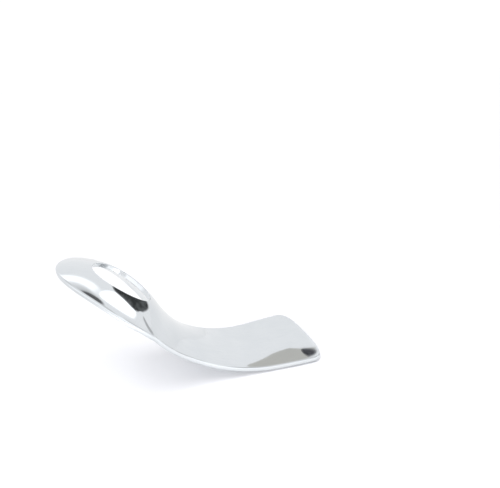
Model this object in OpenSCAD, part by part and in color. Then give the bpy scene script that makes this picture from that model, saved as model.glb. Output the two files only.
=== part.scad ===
// Balancing holder for one wine bottle: a single swept plate of polished metal.
// The plate's wide foot rests on the table, and its head carries a round hole
// that the bottle's neck goes through. The bottle hangs over the foot, so the
// loaded holder balances. +X runs from the head to the foot's free end, the
// plate is symmetric about Y = 0, and the table is the plane Z = 0.

/* [Plate] */
// Thickness of the plate
plate_t = 3.5; // [3:0.5:5]
// Rounding of the plate's outer edges
edge_r = 1.2; // [0.6:0.1:1.4]

/* [Side profile, along the upper surface] */
// Length of the lip that turns up at the foot's free end
lip_l = 14; // [8:1:20]
// Angle of the lip at the free end
lip_a = 7; // [0:1:10]
// Length of the flat that the holder stands on
flat_l = 24; // [24:1:40]
// Length of the sweep from the flat up to the steepest part of the neck
sweep_l = 96; // [70:1:110]
// Steepest slope of the neck
neck_a = 64; // [50:1:68]
// Length from the steepest part to the middle of the hole
shoulder_l = 35; // [25:1:45]
// Slope of the plate at the middle of the hole
hole_a = 40; // [30:1:45]
// Length from the middle of the hole to the tip of the head
head_l = 46; // [38:1:55]
// Slope at the tip of the head
tip_a = 0; // [-5:1:15]

/* [Outline] */
// Width of the plate at the foot's free end
foot_w = 75; // [66:1:84]
// Width at the waist, the narrowest part
waist_w = 61; // [54:1:66]
// Width of the head at the hole
head_w = 96; // [80:1:100]
// Length of the rounded end of the foot
foot_round_l = 12; // [8:1:20]
// Length of the rounded end of the head
head_round_l = 56; // [40:1:64]
// Height by which the middle of the head stands above its side edges
crown_h = 11; // [0:1:12]

/* [Hole for the bottle's neck] */
// Diameter of the hole
hole_d = 45; // [38:1:48]

/* [Foot pads] */
// Diameter of a self-adhesive pad
pad_d = 9; // [6:1:10]
// Thickness of a pad
pad_t = 1; // [0.5:0.5:2]
// Distance between the pads along the holder
pad_pitch_x = 14; // [12:1:14]
// Distance between the pads across the holder
pad_pitch_y = 48; // [30:1:50]

/* [Hidden] */

// Distances along the plate at which the slope is set; it changes evenly between
// them, so each stretch is a circular arc or a straight
s_flat = lip_l;
s_sweep = s_flat + flat_l;
s_neck = s_sweep + sweep_l;
s_hole = s_neck + shoulder_l;
s_tip = s_hole + head_l;
slopes = [[0, -lip_a], [s_flat, 0], [s_sweep, 0], [s_neck, neck_a], [s_hole, hole_a], [s_tip, tip_a]];

// The upper surface's middle line, stepped along from the foot's free end
path_n = 215;
path_step = s_tip / path_n;
path = [for (i = 0, p = [0, 0]; i <= path_n;
             p = p + path_step * [-cos(lookup((i + 0.5) * path_step, slopes)),
                                  sin(lookup((i + 0.5) * path_step, slopes))],
             i = i + 1) p];
path_x = [for (i = [0:path_n]) [i * path_step, path[i].x]];
path_z = [for (i = [0:path_n]) [i * path_step, path[i].y]];

// Shift that puts the middle of the length at X = 0 and the plate on its pads
shift_x = -path[path_n].x / 2;
shift_z = pad_t + plate_t - lookup(s_flat, path_z);

// The plate's half width before its ends are rounded
waist_part = 0.44;
s_waist = waist_part * s_tip;
function ease(t) = t <= 0 ? 0 : t >= 1 ? 1 : t * t * (3 - 2 * t);
function half_w(s) = s < s_waist
    ? (foot_w + (waist_w - foot_w) * ease(s / s_waist)) / 2
    : (waist_w + (head_w - waist_w) * ease((s - s_waist) / (s_hole - s_waist))) / 2;

// The foot is flat across, and the crown grows from there to the hole
function crown(s) = crown_h * ease((s - s_sweep) / (s_hole - s_sweep));

// A point of the plate: s along it, v across it, w below its upper surface.
// The section is a parabola, and w runs square to it
function plate_point(s, v, w) =
    let (a = lookup(s, slopes),
         k = crown(s) / pow(half_w(s), 2),
         q = sqrt(1 + pow(2 * k * v, 2)),
         drop = k * v * v + w / q,
         y = v - w * 2 * k * v / q)
    [lookup(s, path_x) + shift_x - sin(a) * drop, y, lookup(s, path_z) + shift_z - cos(a) * drop];

// One side of the outline, from the foot's free end to the tip of the head:
// a blunt round end, the long edge, and an elliptical round end
foot_power = 3;
end_n = 10;
side_n = 26;
outline = concat(
    [for (i = [0:end_n])
        let (t = 90 * i / end_n, s = foot_round_l * (1 - pow(cos(t), 2 / foot_power)))
        [s, half_w(s) * pow(sin(t), 2 / foot_power)]],
    [for (i = [1:side_n - 1])
        let (s = foot_round_l + (s_tip - head_round_l - foot_round_l) * i / side_n)
        [s, half_w(s)]],
    [for (i = [0:end_n])
        let (t = 90 * i / end_n, s = s_tip - head_round_l * (1 - sin(t)))
        [s, half_w(s) * cos(t)]]);
row_n = len(outline) - 1;

// The outline's inward direction at a row, square to the edge; at the two ends
// it points along the plate
function inward(i) = i == 0 ? [1, 0] : i == row_n ? [-1, 0]
    : let (d = outline[i + 1] - outline[i - 1]) [d.y, -d.x] / norm(d);

// The edge in section: distance in from the outline, and depth
function edge_inset(k) = edge_r * [1, 0.3, 0, 0, 0.3, 1][k];
function edge_depth(k) = k < 3 ? edge_r * [0, 0.3, 1][k] : plate_t - edge_r * [1, 0.3, 0][k - 3];
edge_n = 6;
col_n = 14;

// Points: the edge rings go right round the outline, and the upper and lower
// faces add the columns between the two edges of each row
ring_n = 2 * row_n;
function ring_row(j) = j <= row_n ? j : ring_n - j;
function edge_point(k, j) =
    let (i = ring_row(j), p = outline[i] + inward(i) * edge_inset(k))
    plate_point(p.x, j <= row_n ? p.y : -p.y, edge_depth(k));
function face_point(i, c, w) =
    let (p = outline[i] + inward(i) * edge_r)
    plate_point(p.x, p.y * (1 - 2 * c / col_n), w);
plate_points = concat(
    [for (k = [0:edge_n - 1], j = [0:ring_n - 1]) edge_point(k, j)],
    [for (w = [0, plate_t], i = [1:row_n - 1], c = [1:col_n - 1]) face_point(i, c, w)]);

function edge_at(k, j) = k * ring_n + j % ring_n;
function face_at(face, i, c) =
    let (k = face == 0 ? 0 : edge_n - 1)
    c == 0 || i == 0 || i == row_n ? edge_at(k, i)
    : c == col_n ? edge_at(k, ring_n - i)
    : edge_n * ring_n + (face * (row_n - 1) + i - 1) * (col_n - 1) + c - 1;

function facing(face, t) = face == 0 ? t : [t[0], t[2], t[1]];
plate_faces = concat(
    [for (k = [0:edge_n - 2], j = [0:ring_n - 1], t = [0, 1])
        t == 0 ? [edge_at(k, j), edge_at(k, j + 1), edge_at(k + 1, j)]
               : [edge_at(k, j + 1), edge_at(k + 1, j + 1), edge_at(k + 1, j)]],
    [for (face = [0, 1], i = [0:row_n - 1], c = [0:col_n - 1], t = [0, 1])
        if (!(i == 0 && t == 0) && !(i == row_n - 1 && t == 1))
            facing(face, t == 0 ? [face_at(face, i, c), face_at(face, i, c + 1), face_at(face, i + 1, c)]
                                : [face_at(face, i, c + 1), face_at(face, i + 1, c + 1), face_at(face, i + 1, c)])]);

// The polished plate, with a true round hole drilled square to it
hole_reach = 60;
module holder_plate() {
    color("silver")
    difference() {
        polyhedron(plate_points, plate_faces, convexity = 6);
        translate(plate_point(s_hole, 0, plate_t / 2))
        rotate([0, hole_a, 0])
            cylinder(d = hole_d, h = hole_reach, center = true, $fn = 96);
    }
}

// One round pad under the flat, stuck to the plate's lower face
flat_x = lookup((s_flat + s_sweep) / 2, path_x) + shift_x;
module foot_pad(side_x, side_y) {
    color("gainsboro")
    translate([flat_x + side_x * pad_pitch_x / 2, side_y * pad_pitch_y / 2, 0])
        cylinder(d = pad_d, h = pad_t, $fn = 48);
}

holder_plate();
foot_pad(-1, -1);  // foot_pad_1
foot_pad(1, -1);  // foot_pad_2
foot_pad(-1, 1);  // foot_pad_3
foot_pad(1, 1);  // foot_pad_4
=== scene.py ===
"""Looks of the balancing bottle holder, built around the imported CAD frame.

The plate is rebuilt as a fine mesh of the same shape as the CAD plate, with
rounded edges and a rounded rim at the hole, and the four foot pads as moulded
pads. Lengths are in millimetres up to the meshes, which are in metres.
"""

import math

import bpy
import numpy as np
from mathutils import Matrix, Vector
from mathutils.geometry import delaunay_2d_cdt


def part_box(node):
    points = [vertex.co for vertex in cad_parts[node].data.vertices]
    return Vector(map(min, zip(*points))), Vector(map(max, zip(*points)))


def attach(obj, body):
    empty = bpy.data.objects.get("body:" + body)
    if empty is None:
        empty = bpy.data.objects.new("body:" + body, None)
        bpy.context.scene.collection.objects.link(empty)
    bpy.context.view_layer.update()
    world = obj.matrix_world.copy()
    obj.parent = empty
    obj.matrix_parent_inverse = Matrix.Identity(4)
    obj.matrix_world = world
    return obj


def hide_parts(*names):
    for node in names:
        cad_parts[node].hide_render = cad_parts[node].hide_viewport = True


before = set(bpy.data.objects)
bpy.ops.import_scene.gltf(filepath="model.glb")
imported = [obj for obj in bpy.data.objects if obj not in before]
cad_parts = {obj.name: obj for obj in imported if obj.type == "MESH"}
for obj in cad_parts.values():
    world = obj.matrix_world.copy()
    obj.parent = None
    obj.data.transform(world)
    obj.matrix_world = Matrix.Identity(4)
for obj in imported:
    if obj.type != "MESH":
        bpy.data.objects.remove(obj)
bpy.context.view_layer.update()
MM = 0.001
QUARTER = math.pi / 2

# ---------------------------------------------------------------- the plate
# The driving sizes are those of the CAD plate: T thicknesses, R radii, L
# lengths along the plate, A slopes in degrees, W widths, H heights, D diameters
PLATE_T, EDGE_R, PAD_T = 3.5, 1.2, 1.0
LIP_L, FLAT_L, SWEEP_L, SHOULDER_L, HEAD_L = 14.0, 24.0, 96.0, 35.0, 46.0
LIP_A, NECK_A, HOLE_A, TIP_A = 7.0, 64.0, 40.0, 0.0
FOOT_W, WAIST_W, HEAD_W, WAIST_PART = 75.0, 61.0, 96.0, 0.44
FOOT_ROUND_L, FOOT_POWER, HEAD_ROUND_L = 12.0, 3.0, 56.0
CROWN_H, HOLE_D = 11.0, 45.0

S_FLAT = LIP_L
S_SWEEP = S_FLAT + FLAT_L
S_NECK = S_SWEEP + SWEEP_L
S_HOLE = S_NECK + SHOULDER_L
S_TIP = S_HOLE + HEAD_L
SLOPE_AT = [0.0, S_FLAT, S_SWEEP, S_NECK, S_HOLE, S_TIP]
SLOPES = [-LIP_A, 0.0, 0.0, NECK_A, HOLE_A, TIP_A]

# The middle line of the upper face, stepped along from the foot's free end
PATH_N = 4300
_step = S_TIP / PATH_N
_mid = (np.arange(PATH_N) + 0.5) * _step
_slope = np.radians(np.interp(_mid, SLOPE_AT, SLOPES))
PATH_S = np.arange(PATH_N + 1) * _step
PATH_X = np.concatenate([[0.0], np.cumsum(-np.cos(_slope) * _step)])
PATH_Z = np.concatenate([[0.0], np.cumsum(np.sin(_slope) * _step)])
PATH_X -= PATH_X[-1] / 2
PATH_Z += PAD_T + PLATE_T - np.interp(S_FLAT, PATH_S, PATH_Z)


def ease(t):
    """A smooth step from 0 to 1."""
    t = np.clip(t, 0.0, 1.0)
    return t * t * (3 - 2 * t)


def unit(a):
    return a / np.linalg.norm(a, axis=-1, keepdims=True)


def run_along(line):
    """The distance along a line of points, at each of them."""
    lengths = np.linalg.norm(np.diff(line, axis=0), axis=1)
    return np.concatenate([[0], np.cumsum(lengths)])


def half_w(s):
    """Half of the plate's width at s, before its ends are rounded."""
    s_waist = WAIST_PART * S_TIP
    foot = FOOT_W + (WAIST_W - FOOT_W) * ease(s / s_waist)
    head = WAIST_W + (HEAD_W - WAIST_W) * ease((s - s_waist) / (S_HOLE - s_waist))
    return np.where(s < s_waist, foot, head) / 2


# A soft crease on each side of the neck: the line of the neck's edge runs on
# into the head, curves in towards the hole and fades. It is a quadratic curve
# in (s, |v|). Just outside it the surface dips by CREASE_H, at CREASE_L away,
# and CREASE_R softens the near side of the dip
CREASE_BEND = np.array([[132.0, 39.6], [155.0, 44.0], [157.0, 27.0]])
CREASE_H, CREASE_L, CREASE_R = 0.40, 2.2, 0.20
# Where along the curve, from 0 to 1, the dip starts, is full, fades and ends
CREASE_FADE = (0.02, 0.35, 0.60, 0.88)
# The part of the plate that the crease reaches: from and to in s, and from |v|
CREASE_FROM_S, CREASE_TO_S, CREASE_FROM_V = 125.0, 175.0, 18.0
CREASE_N = 600
_t = np.linspace(0, 1, CREASE_N)[:, None]
CREASE = ((1 - _t) ** 2 * CREASE_BEND[0] + 2 * _t * (1 - _t) * CREASE_BEND[1]
          + _t ** 2 * CREASE_BEND[2])
CREASE_STEPS = np.gradient(CREASE, axis=0)
CREASE_ALONG = unit(CREASE_STEPS)
CREASE_OUT = np.stack([-CREASE_ALONG[:, 1], CREASE_ALONG[:, 0]], -1)
# How many points are compared with a curve at a time, to spare memory
CHUNK = 1500


def crease_drop(s, v):
    """How far the flank outside the crease lies below the smooth face."""
    shape = s.shape
    s, v = s.ravel(), np.abs(v).ravel()
    drop = np.zeros(s.size)
    close = np.flatnonzero((s > CREASE_FROM_S) & (s < CREASE_TO_S) & (v > CREASE_FROM_V))
    for part in np.array_split(close, max(1, len(close) // CHUNK)):
        at = np.stack([s[part], v[part]], -1)
        i = ((at[:, None] - CREASE[None]) ** 2).sum(-1).argmin(1)
        offset = at - CREASE[i]
        away = (offset * CREASE_OUT[i]).sum(-1)
        ahead = (offset * CREASE_ALONG[i]).sum(-1) / np.linalg.norm(CREASE_STEPS[i], axis=1)
        t = (i + ahead) / (CREASE_N - 1)
        start, full, fading, end = CREASE_FADE
        fade = ease((t - start) / (full - start)) * (1 - ease((t - fading) / (end - fading)))
        beyond = CREASE_R * np.logaddexp(0, away / CREASE_R) / CREASE_L
        drop[part] = CREASE_H * beyond * np.exp(1 - beyond) * fade
    return drop.reshape(shape)


def plate_point(s, v, w):
    """A point of the plate: s along it, v across it, w below its upper face."""
    s, v, w = np.broadcast_arrays(*[np.asarray(a, float) for a in (s, v, w)])
    a = np.radians(np.interp(s, SLOPE_AT, SLOPES))
    k = CROWN_H * ease((s - S_SWEEP) / (S_HOLE - S_SWEEP)) / half_w(s) ** 2
    q = np.sqrt(1 + (2 * k * v) ** 2)
    drop = k * v * v + w / q + crease_drop(s, v)
    return np.stack([np.interp(s, PATH_S, PATH_X) - np.sin(a) * drop,
                     v - w * 2 * k * v / q,
                     np.interp(s, PATH_S, PATH_Z) - np.cos(a) * drop], -1)


# Half steps for normals by differences: in mm, and in radians
NUDGE, NUDGE_A = 0.02, 0.001


def face_normal(s, v, w):
    """The upper side's unit normal at depth w, by differences of the shape."""
    ds = plate_point(s + NUDGE, v, w) - plate_point(s - NUDGE, v, w)
    dv = plate_point(s, v + NUDGE, w) - plate_point(s, v - NUDGE, w)
    return unit(np.cross(dv, ds))


OUTLINE_SAMPLES = 1500


def even_outline(spacing):
    """The closed outline in (s, v), with its points evenly spaced."""
    t = np.linspace(0, QUARTER, OUTLINE_SAMPLES)
    foot_s = FOOT_ROUND_L * (1 - np.cos(t) ** (2 / FOOT_POWER))
    foot = np.stack([foot_s, half_w(foot_s) * np.sin(t) ** (2 / FOOT_POWER)], -1)
    edge_s = np.linspace(FOOT_ROUND_L, S_TIP - HEAD_ROUND_L, OUTLINE_SAMPLES)[1:-1]
    edge = np.stack([edge_s, half_w(edge_s)], -1)
    head_s = S_TIP - HEAD_ROUND_L * (1 - np.sin(t))
    head = np.stack([head_s, half_w(head_s) * np.cos(t)], -1)
    side = np.concatenate([foot, edge, head])
    side[0], side[-1] = (0, 0), (S_TIP, 0)
    run = run_along(side)
    at = np.linspace(0, run[-1], int(run[-1] / spacing) + 1)
    side = np.stack([np.interp(at, run, side[:, i]) for i in (0, 1)], -1)
    mirrored = side[-2:0:-1] * [1, -1]
    return np.concatenate([side, mirrored])


# The hole: its middle, its axis, and the two directions square to the axis
HOLE_MID = plate_point(S_HOLE, 0.0, PLATE_T / 2)
_tilt = math.radians(HOLE_A)
HOLE_AXIS = np.array([math.sin(_tilt), 0.0, math.cos(_tilt)])
HOLE_ALONG = np.array([-math.cos(_tilt), 0.0, math.sin(_tilt)])
HOLE_ACROSS = np.array([0.0, 1.0, 0.0])
HOLE_SOLVE_STEPS = 12


def on_hole(turn, radius, w):
    """(s, v) of the face at depth w where it is `radius` from the hole's axis."""
    want = np.stack([radius * np.cos(turn), radius * np.sin(turn)], -1)
    sv = want + [S_HOLE, 0.0]
    for _ in range(HOLE_SOLVE_STEPS):
        p = plate_point(sv[..., 0], sv[..., 1], w) - HOLE_MID
        sv = sv + want - np.stack([p @ HOLE_ALONG, p @ HOLE_ACROSS], -1)
    return sv


def hole_height(turn, radius, w):
    """How far along the hole's axis the face at depth w is there."""
    sv = on_hole(turn, radius, w)
    return (plate_point(sv[..., 0], sv[..., 1], w) - HOLE_MID) @ HOLE_AXIS


def hole_point(turn, radius, height):
    """A point round the hole's axis, from its turn, radius and height."""
    return (HOLE_MID + radius[..., None] * (np.cos(turn)[..., None] * HOLE_ALONG
                                            + np.sin(turn)[..., None] * HOLE_ACROSS)
            + height[..., None] * HOLE_AXIS)


# ------------------------------------------------------------- mesh helpers
class Soup:
    """Collects points with their normals, and the faces between them.

    Each point also has a flat row: its (s, v), and how far it is from an edge.
    """

    def __init__(self):
        self.co, self.no, self.flat, self.faces, self.count = [], [], [], [], 0

    def add(self, co, no, flat):
        first = self.count
        self.co.append(co)
        self.no.append(no)
        self.flat.append(flat)
        self.count += len(co)
        return np.arange(first, self.count)

    def bridge(self, rings):
        """Quads between each closed ring and the next, all of one length."""
        for a, b in zip(rings, rings[1:]):
            quads = np.stack([a, b, np.roll(b, -1), np.roll(a, -1)], -1)
            self.faces.extend(quads.tolist())

    def build(self, name):
        mesh = bpy.data.meshes.new(name)
        co = np.concatenate(self.co) * MM
        mesh.from_pydata(co.tolist(), [], self.faces)
        mesh.update()
        mesh.shade_smooth()
        flat = np.concatenate(self.flat)
        corner = np.empty(len(mesh.loops), np.int32)
        mesh.loops.foreach_get("vertex_index", corner)
        uv = flat[corner, :2] * MM
        layer = mesh.uv_layers.new(name="Flat")
        layer.uv.foreach_set("vector", uv.astype(np.float32).ravel())
        near = mesh.attributes.new("edge_near", "FLOAT", "POINT")
        near.data.foreach_set("value", flat[:, 2].astype(np.float32))
        mesh.normals_split_custom_set_from_vertices(np.concatenate(self.no).tolist())
        return add_object(name, mesh)


def add_object(name, data):
    obj = bpy.data.objects.new(name, data)
    bpy.context.scene.collection.objects.link(obj)
    return obj


def inside(points, loop):
    """Which points lie inside a closed loop (even-odd rule)."""
    hit = np.zeros(len(points), bool)
    tiny = 1e-30
    for a, b in zip(loop, np.roll(loop, -1, axis=0)):
        crosses = (a[1] > points[:, 1]) != (b[1] > points[:, 1])
        if crosses.any():
            x = a[0] + (points[:, 1] - a[1]) * (b[0] - a[0]) / (b[1] - a[1] + tiny)
            hit ^= crosses & (points[:, 0] < x)
    return hit


def nearest(points, loop):
    """Distance from each point to the nearest point of a loop."""
    return np.concatenate([
        np.sqrt(((points[i:i + CHUNK, None] - loop[None]) ** 2).sum(-1)).min(1)
        for i in range(0, len(points), CHUNK)])


def between(points, outer, hole, clear):
    """Those of the points that lie between two loops, clear of both."""
    points = points[inside(points, outer) & ~inside(points, hole)]
    return points[(nearest(points, outer) > clear) & (nearest(points, hole) > clear)]


def lattice(pitch):
    """Points of a triangular lattice over the plate's whole (s, v) box."""
    rows = []
    rise = pitch * math.sqrt(3) / 2
    for i, v in enumerate(np.arange(-HEAD_W / 2, HEAD_W / 2, rise)):
        s = np.arange(0, S_TIP, pitch) + (i % 2) * pitch / 2
        rows.append(np.stack([s, np.full_like(s, v)], -1))
    return np.concatenate(rows)


def crease_rows():
    """Close rows of points along both creases."""
    run = run_along(CREASE)
    index = np.searchsorted(run, np.arange(0, run[-1], CREASE_STEP))
    rows = np.concatenate([CREASE[index] + CREASE_OUT[index] * r for r in CREASE_ROWS])
    return np.concatenate([rows, rows * [1, -1]])


def triangulate(outer, hole, inner):
    """Triangles between two loops, over the loops' points and inner points."""
    points = np.concatenate([outer, hole, inner])
    loops = [np.arange(len(outer)), len(outer) + np.arange(len(hole))]
    edges = [(int(a), int(b)) for loop in loops for a, b in zip(loop, np.roll(loop, -1))]
    merge = 1e-7
    _, _, faces, origin, _, _ = delaunay_2d_cdt(
        [Vector(p) for p in points.tolist()], edges, [], 0, merge)
    faces = np.array([[origin[i][0] for i in f] for f in faces])
    middle = points[faces].mean(1)
    return faces[inside(middle, outer) & ~inside(middle, hole)]


# ---------------------------------------------------------- the plate's mesh
OUTLINE_STEP = 1.0
LATTICE, LATTICE_CLEAR = 1.3, 0.75
# Rows of points beside the crease, by how far out they are from it
CREASE_ROWS = [-1.0, -0.5, -0.2, 0.0, 0.2, 0.45, 0.8, 1.3, 2.0, 2.9]
CREASE_STEP, CREASE_CLEAR, ROWS_CLEAR = 0.8, 0.35, 0.6
EDGE_STEPS = 8
RIM_R = 0.5
RIM_STEPS = 5
RIM_TURNS = 144
RIM_TURN = np.arange(RIM_TURNS) * 2 * math.pi / RIM_TURNS
BORE_R = np.full(RIM_TURNS, HOLE_D / 2)
# The plate's two faces, as the signs of their normals, and how deep each lies
TOP, UNDER = 1, -1
DEPTH = {TOP: 0.0, UNDER: PLATE_T}


def quarter_round(steps, side):
    """Angles of a rounded edge, from the upper face to the wall or on from it."""
    angles = [QUARTER * i / steps for i in range(steps + 1)]
    return angles[::side]


def add_edge(soup, outline, inward):
    """The plate's outer edge, rounded at both faces; gives its rings."""
    def edge_at(phi, side):
        flat = outline + inward * (EDGE_R * (1 - math.sin(phi)))
        depth = DEPTH[side] + side * EDGE_R * (1 - math.cos(phi))
        return plate_point(flat[:, 0], flat[:, 1], depth), flat

    rings = []
    for side in (TOP, UNDER):
        for phi in quarter_round(EDGE_STEPS, side):
            co, flat = edge_at(phi, side)
            across = edge_at(phi + NUDGE_A, side)[0] - edge_at(phi - NUDGE_A, side)[0]
            around = np.roll(co, -1, axis=0) - np.roll(co, 1, axis=0)
            near = np.zeros((len(co), 1))
            rings.append(soup.add(co, unit(np.cross(across * side, around)),
                                  np.concatenate([flat, near], 1)))
    soup.bridge(rings)
    return rings


def add_rim(soup):
    """The hole: a rounded rim on each side and the straight bore between them."""
    def rim_at(turn, phi, side):
        r = BORE_R + RIM_R * (1 - math.sin(phi))
        sink = RIM_R * (1 - math.cos(phi))
        return hole_point(turn, r, hole_height(turn, r, DEPTH[side]) - side * sink)

    rings = []
    for side in (TOP, UNDER):
        for phi in quarter_round(RIM_STEPS, side):
            across = rim_at(RIM_TURN, phi + NUDGE_A, side) - rim_at(RIM_TURN, phi - NUDGE_A, side)
            around = rim_at(RIM_TURN + NUDGE_A, phi, side) - rim_at(RIM_TURN - NUDGE_A, phi, side)
            r = BORE_R + RIM_R * (1 - math.sin(phi))
            flat = np.stack([S_HOLE + r * np.cos(RIM_TURN), r * np.sin(RIM_TURN),
                             np.zeros(RIM_TURNS)], -1)
            rings.append(soup.add(rim_at(RIM_TURN, phi, side),
                                  unit(np.cross(across, around)) * side, flat))
    soup.bridge(rings)
    return rings


def add_face(soup, side, outer, edge_ring, rim_ring):
    """One face, over its edge ring, its rim ring and a lattice between them."""
    depth = DEPTH[side]
    hole = on_hole(RIM_TURN, BORE_R + RIM_R, depth)
    inner = between(lattice(LATTICE), outer, hole, LATTICE_CLEAR)
    rows = between(crease_rows(), outer, hole, CREASE_CLEAR)
    inner = np.concatenate([inner[nearest(inner, rows) > ROWS_CLEAR], rows])
    triangles = triangulate(outer, hole, inner)
    near = np.minimum(nearest(inner, outer), nearest(inner, hole))
    index = soup.add(plate_point(inner[:, 0], inner[:, 1], depth),
                     face_normal(inner[:, 0], inner[:, 1], depth) * side,
                     np.concatenate([inner, near[:, None]], 1))
    corners = np.concatenate([edge_ring, rim_ring, index])[triangles]
    soup.faces.extend(corners[:, ::-side].tolist())


def make_plate():
    soup = Soup()
    outline = even_outline(OUTLINE_STEP)
    along = np.roll(outline, -1, axis=0) - np.roll(outline, 1, axis=0)
    inward = unit(np.stack([along[:, 1], -along[:, 0]], -1))
    edge_rings = add_edge(soup, outline, inward)
    rim_rings = add_rim(soup)
    outer = outline + inward * EDGE_R
    add_face(soup, TOP, outer, edge_rings[0], rim_rings[0])
    add_face(soup, UNDER, outer, edge_rings[-1], rim_rings[-1])
    return soup.build("holder_plate_polished")


# ------------------------------------------------------------ material nodes
class Nodes:
    """A small helper that adds nodes and links to a node tree."""

    def __init__(self, tree):
        self.tree = tree

    def add(self, kind, inputs=None, **settings):
        node = self.tree.nodes.new(kind)
        for key, value in settings.items():
            setattr(node, key, value)
        for key, value in (inputs or {}).items():
            self.set(node.inputs[key], value)
        return node

    def set(self, socket, value):
        if isinstance(value, bpy.types.NodeSocket):
            self.tree.links.new(value, socket)
        else:
            socket.default_value = value

    def math(self, operation, a, b=0.0, c=0.0):
        node = self.add("ShaderNodeMath", operation=operation)
        for socket, value in zip(node.inputs, (a, b, c)):
            self.set(socket, value)
        return node.outputs[0]

    def ramp(self, value, low, high, to_low=0.0, to_high=1.0):
        node = self.add("ShaderNodeMapRange", {
            "Value": value, "From Min": low, "From Max": high,
            "To Min": to_low, "To Max": to_high}, interpolation_type="SMOOTHSTEP")
        return node.outputs["Result"]

    def noise(self, vector, scale, detail, rough):
        node = self.add("ShaderNodeTexNoise", {
            "Vector": vector, "Scale": scale, "Detail": detail, "Roughness": rough})
        return node.outputs["Fac"]

    def mix(self, factor, a, b):
        node = self.add("ShaderNodeMix", data_type="RGBA")
        self.set(node.inputs["Factor"], factor)
        self.set(node.inputs["A"], a)
        self.set(node.inputs["B"], b)
        return node.outputs["Result"]


def grey(level):
    return (level, level, level, 1)


def empty_material(name):
    """A material with only its output; gives it, its nodes and its surface."""
    mat = bpy.data.materials.new(name)
    mat.use_nodes = True
    mat.node_tree.nodes.clear()
    n = Nodes(mat.node_tree)
    return mat, n, n.add("ShaderNodeOutputMaterial").inputs["Surface"]


def new_material(name):
    mat, n, surface = empty_material(name)
    shader = n.add("ShaderNodeBsdfPrincipled")
    n.set(surface, shader.outputs[0])
    return mat, n, shader


def polished_metal():
    """Mirror-bright metal with haze, wipe streaks and fine scratches."""
    mat, n, shader = new_material("Polished aluminium")
    here = n.add("ShaderNodeTexCoord").outputs["Object"]
    flat = n.add("ShaderNodeUVMap", uv_map="Flat").outputs[0]
    near = n.add("ShaderNodeAttribute", attribute_name="edge_near").outputs["Fac"]
    edge_reach = 2.5
    at_edge = n.ramp(near, 0.0, edge_reach, 1.0, 0.0)

    def lines(turn, along, across, detail, rough):
        """Noise drawn out into lines along the plate, or at an angle to it."""
        drawn = n.add("ShaderNodeMapping", {
            "Vector": flat, "Rotation": (0.0, 0.0, turn), "Scale": (along, across, 1.0)})
        return n.noise(drawn.outputs[0], 1.0, detail, rough)

    # Cloudy haze left by the buffing wheel, faint wipe streaks across it, and
    # two sets of fine scratches
    cloud = n.noise(here, 55.0, 4.0, 0.6)
    streak = lines(turn=0.0, along=60.0, across=700.0, detail=5.0, rough=0.65)
    one_way = lines(turn=0.5, along=250.0, across=5000.0, detail=2.0, rough=0.5)
    other_way = lines(turn=-0.9, along=180.0, across=4200.0, detail=2.0, rough=0.5)
    scratches = n.math("MAXIMUM", n.ramp(one_way, 0.70, 0.80), n.ramp(other_way, 0.71, 0.82))

    dark_tone, light_tone = (0.700, 0.732, 0.764, 1), (0.740, 0.768, 0.796, 1)
    least_rough, most_rough = 0.050, 0.095
    rougher_scratch, rougher_edge = 0.10, 0.03
    cloud_part, streak_part = 0.6, 0.4
    tone = n.math("ADD", n.math("MULTIPLY", cloud, cloud_part),
                  n.math("MULTIPLY", streak, streak_part))
    n.set(shader.inputs["Base Color"], n.mix(n.ramp(tone, 0.3, 0.7), dark_tone, light_tone))
    shader.inputs["Metallic"].default_value = 1.0
    rough = n.ramp(tone, 0.25, 0.75, least_rough, most_rough)
    rough = n.math("ADD", rough, n.math("MULTIPLY", scratches, rougher_scratch))
    rough = n.math("ADD", rough, n.math("MULTIPLY", at_edge, rougher_edge))
    n.set(shader.inputs["Roughness"], rough)

    # The faces are very slightly wavy, as sheet that was bent and then buffed
    scratch_depth, streak_height = -0.004, 0.002
    relief = n.noise(here, 28.0, 1.0, 0.4)
    relief = n.math("ADD", relief, n.math("MULTIPLY", scratches, scratch_depth))
    relief = n.math("ADD", relief, n.math("MULTIPLY", streak, streak_height))
    bump = n.add("ShaderNodeBump", {"Height": relief, "Strength": 0.35, "Distance": 0.0002})
    n.set(shader.inputs["Normal"], bump.outputs[0])
    return mat


def pad_elastomer():
    """Clear elastomer, frosted by a fine moulded grain."""
    mat, n, shader = new_material("Clear elastomer")
    here = n.add("ShaderNodeTexCoord").outputs["Object"]
    cloud = n.noise(here, 900.0, 3.0, 0.5)
    grain = n.noise(here, 9000.0, 2.0, 0.5)
    dark_tone, light_tone = (0.66, 0.67, 0.68, 1), (0.80, 0.81, 0.82, 1)
    least_rough, most_rough = 0.28, 0.42
    n.set(shader.inputs["Base Color"], n.mix(n.ramp(cloud, 0.3, 0.7), dark_tone, light_tone))
    n.set(shader.inputs["Roughness"], n.ramp(grain, 0.3, 0.7, least_rough, most_rough))
    shader.inputs["Subsurface Weight"].default_value = 0.35
    shader.inputs["Subsurface Radius"].default_value = (0.0012, 0.0012, 0.0012)
    shader.inputs["Subsurface Scale"].default_value = 1.0
    shader.inputs["IOR"].default_value = 1.46
    bump = n.add("ShaderNodeBump", {"Height": grain, "Strength": 0.25, "Distance": 0.00003})
    n.set(shader.inputs["Normal"], bump.outputs[0])
    return mat


# --------------------------------------------------------------- foot pads
PAD_TURNS, PAD_ROUND_STEPS, PAD_SHARP = 64, 8, 40.0
FILM_T, FILM_STEP = 0.08, 0.07
# The pad's wall leans in by PAD_DRAFT and meets its base in a round of PAD_ROUND
PAD_ROUND, PAD_DRAFT = 0.45, 0.12
PAD_WALL_AT = (0.02, 0.25, 0.5, 0.75)
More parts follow.
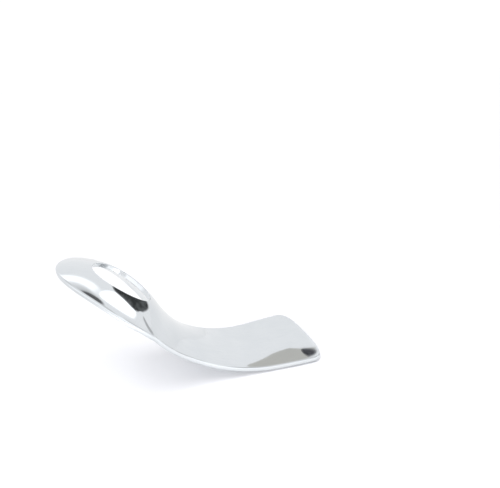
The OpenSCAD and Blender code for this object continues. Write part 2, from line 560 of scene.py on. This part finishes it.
# The part of the radius where each flat face has one more ring
PAD_FLAT_PART = 0.55
DIMPLE_R, DIMPLE_H, DIMPLE_LIP, DIMPLE_LIP_H = 0.45, 0.06, 0.1, 0.01
DIMPLE_FLOOR_PART, DIMPLE_FLOOR_H = 0.6, 0.8


def pad_section(r, bottom, top):
    """The pad's section as (radius, height), from its top to its base."""
    body = r - FILM_STEP
    wall_h = top - bottom - FILM_T - PAD_ROUND
    section = [(0.0, top), (r * PAD_FLAT_PART, top), (r, top), (r, top - FILM_T),
               (body, top - FILM_T)]
    section += [(body - PAD_DRAFT * t, top - FILM_T - wall_h * t) for t in PAD_WALL_AT]
    for i in range(PAD_ROUND_STEPS + 1):
        a = QUARTER * i / PAD_ROUND_STEPS
        section.append((body - PAD_DRAFT - PAD_ROUND * (1 - math.cos(a)),
                        bottom + PAD_ROUND * (1 - math.sin(a))))
    return section + [(r * PAD_FLAT_PART, bottom), (DIMPLE_R + DIMPLE_LIP, bottom),
                      (DIMPLE_R, bottom + DIMPLE_LIP_H),
                      (DIMPLE_R * DIMPLE_FLOOR_PART, bottom + DIMPLE_H * DIMPLE_FLOOR_H),
                      (0.0, bottom + DIMPLE_H)]


def make_pad(name, node):
    """A moulded pad turned from its section, in the place of its CAD disc."""
    low, high = [np.array(c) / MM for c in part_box(node)]
    centre, r = (low + high) / 2, (high[0] - low[0]) / 2
    verts, faces, rings = [], [], []
    for radius, z in pad_section(r, low[2], high[2]):
        turns = [2 * math.pi * j / PAD_TURNS for j in range(PAD_TURNS if radius else 1)]
        rings.append([len(verts) + j for j in range(len(turns))])
        verts += [((centre[0] + radius * math.cos(t)) * MM,
                   (centre[1] + radius * math.sin(t)) * MM, z * MM) for t in turns]
    for a, b in zip(rings, rings[1:]):
        for j in range(PAD_TURNS):
            k = (j + 1) % PAD_TURNS
            if len(a) == 1:
                faces.append((a[0], b[j], b[k]))
            elif len(b) == 1:
                faces.append((a[j], b[0], a[k]))
            else:
                faces.append((a[j], b[j], b[k], a[k]))
    mesh = bpy.data.meshes.new(name)
    mesh.from_pydata(verts, [], faces)
    mesh.update()
    mesh.shade_smooth()
    mesh.set_sharp_from_angle(angle=math.radians(PAD_SHARP))
    return add_object(name, mesh)


# ----------------------------------------------------------------- assembly
plate = make_plate()
plate.data.materials.append(polished_metal())
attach(plate, "root")
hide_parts("holder_plate")

pad_material = pad_elastomer()
for number in range(1, 5):
    node = f"foot_pad_{number}"
    pad = make_pad(f"clear_pad_{number}", node)
    pad.data.materials.append(pad_material)
    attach(pad, "root")
    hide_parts(node)


# ---------------------------------------------------------- the studio's values
# The floor, in metres, and its colour in plain view and as the metal sees it
FLOOR_HALF, FLOOR_ROUGH = 12.0, 0.9
FLOOR_COLOUR = (0.92, 0.92, 0.95, 1)
FLOOR_IN_METAL = (0.845, 0.845, 0.845, 1)

# The room's grey as it lights the scene, a little brighter toward +Y by the
# tilt, and its grey behind the object, as the camera sees it
ROOM_LEVEL, ROOM_TILT, ROOM_BEHIND = 0.69, 0.1, 1.05
# The room's grey as the metal sees it, and bands of height above the horizon,
# in degrees, over which it changes to another grey
ROOM_IN_METAL = 1.0
ROOM_BANDS = ((44.0, 53.0, 0.72), (56.0, 70.0, 1.05))

# Soft panels that the metal sees in the room, in degrees: the heading from +Y
# toward +X and the height of the middle, half the width and height, how soft
# the ends and the long edges are, how much it rises along its heading, and
# its grey. The first two are one panel behind the camera, met at 180 degrees
PANELS = [
    dict(az=180.0, el=-4.0, half_az=100.0, half_el=45.0, soft_az=16.0, soft_el=8.0,
         rise=0.0, level=1.34),
    dict(az=-180.0, el=-4.0, half_az=100.0, half_el=45.0, soft_az=16.0, soft_el=8.0,
         rise=0.0, level=1.34),
    dict(az=10.0, el=40.2, half_az=26.0, half_el=4.0, soft_az=8.0, soft_el=1.8,
         rise=0.11, level=1.5),
    dict(az=80.0, el=16.0, half_az=13.0, half_el=16.0, soft_az=4.0, soft_el=5.0,
         rise=0.0, level=0.55),
    dict(az=57.0, el=58.0, half_az=29.0, half_el=8.0, soft_az=12.0, soft_el=6.0,
         rise=0.0, level=0.35),
]

# Small cards near the object, seen only in the metal. soft_card says what each
# value is. They stand for the bottle, a white reflector and dark edges
CARDS = [
    dict(name="dark_oval", centre=(-26.0, 0.4, 84.2), half_wide=20.5, half_high=13.1,
         turn=30.0, lean=-38.9, power=3.3, soft=0.07,
         colour=(0.040, 0.042, 0.042, 1), mottle=1.9),
    dict(name="white_card", centre=(-10.6, 0.9, 113.7), half_wide=16.1, half_high=34.2,
         turn=30.0, lean=34.4, power=1.9, soft=0.10, colour=grey(1.6)),
    dict(name="streak_card", centre=(-30.6, 12.4, 161.2), half_wide=24.7, half_high=6.8,
         turn=30.0, lean=-20.5, power=3.0, soft=0.25, colour=grey(0.10)),
    dict(name="grey_strip", centre=(75.9, 8.0, 32.0), half_wide=23.2, half_high=10.1,
         turn=0.0, lean=3.9, power=1.75, soft=0.02,
         colour=(0.60, 0.585, 0.545, 1), scallop=0.16),
    dict(name="dark_end", centre=(95.0, 7.0, 30.6), half_wide=7.4, half_high=1.8,
         turn=0.0, lean=45.0, power=2.0, soft=0.20, colour=(0.05, 0.05, 0.06, 1)),
]
# Noise on the cards, per metre, for the scallops and the clouds, and the
# range of the noise over which the clouds grow lighter
SCALLOP_SCALE, CLOUD_SCALE, CLOUD_FROM, CLOUD_TO = 95.0, 75.0, 0.42, 0.62

# The lamps, in metres and degrees: a wide one overhead, and one low at the
# front. Neither shows in the metal
OVERHEAD = dict(name="overhead", toward=(0.05, 0.10, -1.0), spread=55.0, strength=1.35)
LOW_FILL = dict(name="low_fill", place=(-0.050, -0.20, 0.06), target=(0.004, -0.006, 0.0),
                width=0.24, height=0.07, power=0.38)

# The camera: where it stands, where it looks, how far it leans, and its lens
CAMERA_AT = (-0.06908, -0.31406, 0.20916)
HEADING, PITCH, ROLL = 19.94, -19.73, 2.577
LENS, SENSOR = 34.56, 36.0
CLIP_NEAR, CLIP_FAR = 0.01, 100.0


# ------------------------------------------------------ floor, light, camera
def add_quad(name, half_x, half_y, upright=False):
    """One flat quad, lying or upright, as an object."""
    corners = [(-half_x, -half_y), (half_x, -half_y), (half_x, half_y), (-half_x, half_y)]
    mesh = bpy.data.meshes.new(name)
    mesh.from_pydata([(a, 0, b) if upright else (a, b, 0) for a, b in corners],
                     [], [(0, 1, 2, 3)])
    return add_object(name, mesh)


def make_floor():
    """A plain pale floor."""
    floor = add_quad("floor", FLOOR_HALF, FLOOR_HALF)
    mat, n, shader = new_material("Pale floor")
    in_metal = n.add("ShaderNodeLightPath").outputs["Is Glossy Ray"]
    n.set(shader.inputs["Base Color"], n.mix(in_metal, FLOOR_COLOUR, FLOOR_IN_METAL))
    shader.inputs["Roughness"].default_value = FLOOR_ROUGH
    shader.inputs["Specular IOR Level"].default_value = 0.0
    floor.data.materials.append(mat)


def aim(lamp, direction):
    lamp.rotation_euler = Vector(direction).to_track_quat("-Z", "Y").to_euler()


def soft_sun(name, toward, spread, strength):
    """A wide lamp far away, which lights the floor and leaves the metal alone."""
    data = bpy.data.lights.new(name, "SUN")
    data.angle, data.energy = math.radians(spread), strength
    lamp = add_object(name, data)
    aim(lamp, toward)
    lamp.visible_glossy = False


def low_fill(name, place, target, width, height, power):
    """A wide lamp low at the front, which lightens the floor under the neck."""
    data = bpy.data.lights.new(name, "AREA")
    data.shape, data.energy = "RECTANGLE", power
    data.size, data.size_y = width, height
    lamp = add_object(name, data)
    lamp.location = place
    aim(lamp, Vector(target) - Vector(place))
    lamp.visible_glossy = lamp.visible_camera = False


def soft_card(name, centre, half_wide, half_high, turn, lean, power, soft, colour,
              scallop=0.0, mottle=0.0):
    """An upright card with soft edges, seen only in the metal.

    It faces along Y, leans about Y and turns about Z, in degrees. Its outline
    is |x|^power + |z|^power = 1 over its half sizes, so 2 is an oval and 8
    nearly a rectangle, and soft is how wide the outline's fade is. Scallop
    roughens that outline a little, and mottle is how much brighter the card's
    lighter clouds are.
    """
    reach = 1 + 2 * soft
    card = add_quad(name, half_wide * reach * MM, half_high * reach * MM, upright=True)
    mat, n, surface = empty_material(name)
    here = n.add("ShaderNodeTexCoord").outputs["Object"]
    x, _, z = n.add("ShaderNodeSeparateXYZ", {"Vector": here}).outputs
    across = n.math("POWER", n.math("ABSOLUTE", n.math("DIVIDE", x, half_wide * MM)), power)
    up = n.math("POWER", n.math("ABSOLUTE", n.math("DIVIDE", z, half_high * MM)), power)
    edge = n.math("POWER", n.math("ADD", across, up), 1 / power)
    if scallop:
        wobble = n.noise(here, SCALLOP_SCALE, 1.0, 0.5)
        edge = n.math("ADD", edge, n.math("MULTIPLY", n.math("SUBTRACT", wobble, 0.5), scallop))
    if mottle:
        clouds = n.ramp(n.noise(here, CLOUD_SCALE, 2.0, 0.5), CLOUD_FROM, CLOUD_TO)
        lighter = tuple(c * (1 + mottle) for c in colour[:3]) + (1,)
        colour = n.mix(clouds, colour, lighter)
    glow = n.add("ShaderNodeEmission", {"Color": colour})
    clear = n.add("ShaderNodeBsdfTransparent")
    blend = n.add("ShaderNodeMixShader", {"Fac": n.ramp(edge, 1 - soft, 1 + soft)})
    n.set(blend.inputs[1], glow.outputs[0])
    n.set(blend.inputs[2], clear.outputs[0])
    n.set(surface, blend.outputs[0])
    card.data.materials.append(mat)
    card.location = [c * MM for c in centre]
    card.rotation_euler = (0, -math.radians(lean), -math.radians(turn))
    card.visible_camera = card.visible_diffuse = card.visible_shadow = False
    card.visible_transmission = card.visible_volume_scatter = False


def make_studio():
    """A white studio, seen in the metal as soft panels placed by direction."""
    world = bpy.data.worlds.new("studio")
    bpy.context.scene.world = world
    world.use_nodes = True
    world.node_tree.nodes.clear()
    n = Nodes(world.node_tree)
    direction = n.add("ShaderNodeTexCoord").outputs["Generated"]
    x, y, z = n.add("ShaderNodeSeparateXYZ", {"Vector": direction}).outputs
    degrees = 180 / math.pi
    heading = n.math("MULTIPLY", n.math("ARCTAN2", x, y), degrees)
    height = n.math("MULTIPLY", n.math("ARCSINE", z), degrees)

    def with_panel(colour, az, el, half_az, half_el, soft_az, soft_el, rise, level):
        """The colour with one soft-edged panel laid over it."""
        off = n.math("SUBTRACT", heading, az)
        middle = n.math("MULTIPLY_ADD", off, rise, el)
        a = n.math("ABSOLUTE", off)
        e = n.math("ABSOLUTE", n.math("SUBTRACT", height, middle))
        covered = n.math("MULTIPLY", n.ramp(a, half_az - soft_az, half_az + soft_az, 1.0, 0.0),
                         n.ramp(e, half_el - soft_el, half_el + soft_el, 1.0, 0.0))
        return n.mix(covered, colour, grey(level))

    in_metal = grey(ROOM_IN_METAL)
    for low, high, level in ROOM_BANDS:
        in_metal = n.mix(n.ramp(height, low, high), in_metal, grey(level))
    for panel in PANELS:
        in_metal = with_panel(in_metal, **panel)
    room = n.math("MULTIPLY_ADD", y, ROOM_TILT * ROOM_LEVEL, ROOM_LEVEL)
    ray = n.add("ShaderNodeLightPath").outputs
    colour = n.mix(ray["Is Glossy Ray"], room, in_metal)
    colour = n.mix(ray["Is Camera Ray"], colour, grey(ROOM_BEHIND))
    background = n.add("ShaderNodeBackground", {"Color": colour, "Strength": 1.0})
    out = n.add("ShaderNodeOutputWorld")
    n.set(out.inputs["Surface"], background.outputs[0])


def make_camera():
    data = bpy.data.cameras.new("camera")
    data.sensor_width, data.lens = SENSOR, LENS
    data.clip_start, data.clip_end = CLIP_NEAR, CLIP_FAR
    camera = add_object("camera", data)
    turn = (Matrix.Rotation(math.radians(-HEADING), 4, "Z")
            @ Matrix.Rotation(math.radians(90 + PITCH), 4, "X")
            @ Matrix.Rotation(math.radians(-ROLL), 4, "Z"))
    camera.matrix_world = Matrix.Translation(CAMERA_AT) @ turn
    bpy.context.scene.camera = camera


make_floor()
make_studio()
soft_sun(**OVERHEAD)
low_fill(**LOW_FILL)
for card in CARDS:
    soft_card(**card)
make_camera()
bpy.context.scene.view_settings.view_transform = "Standard"

bpy.context.view_layer.update()
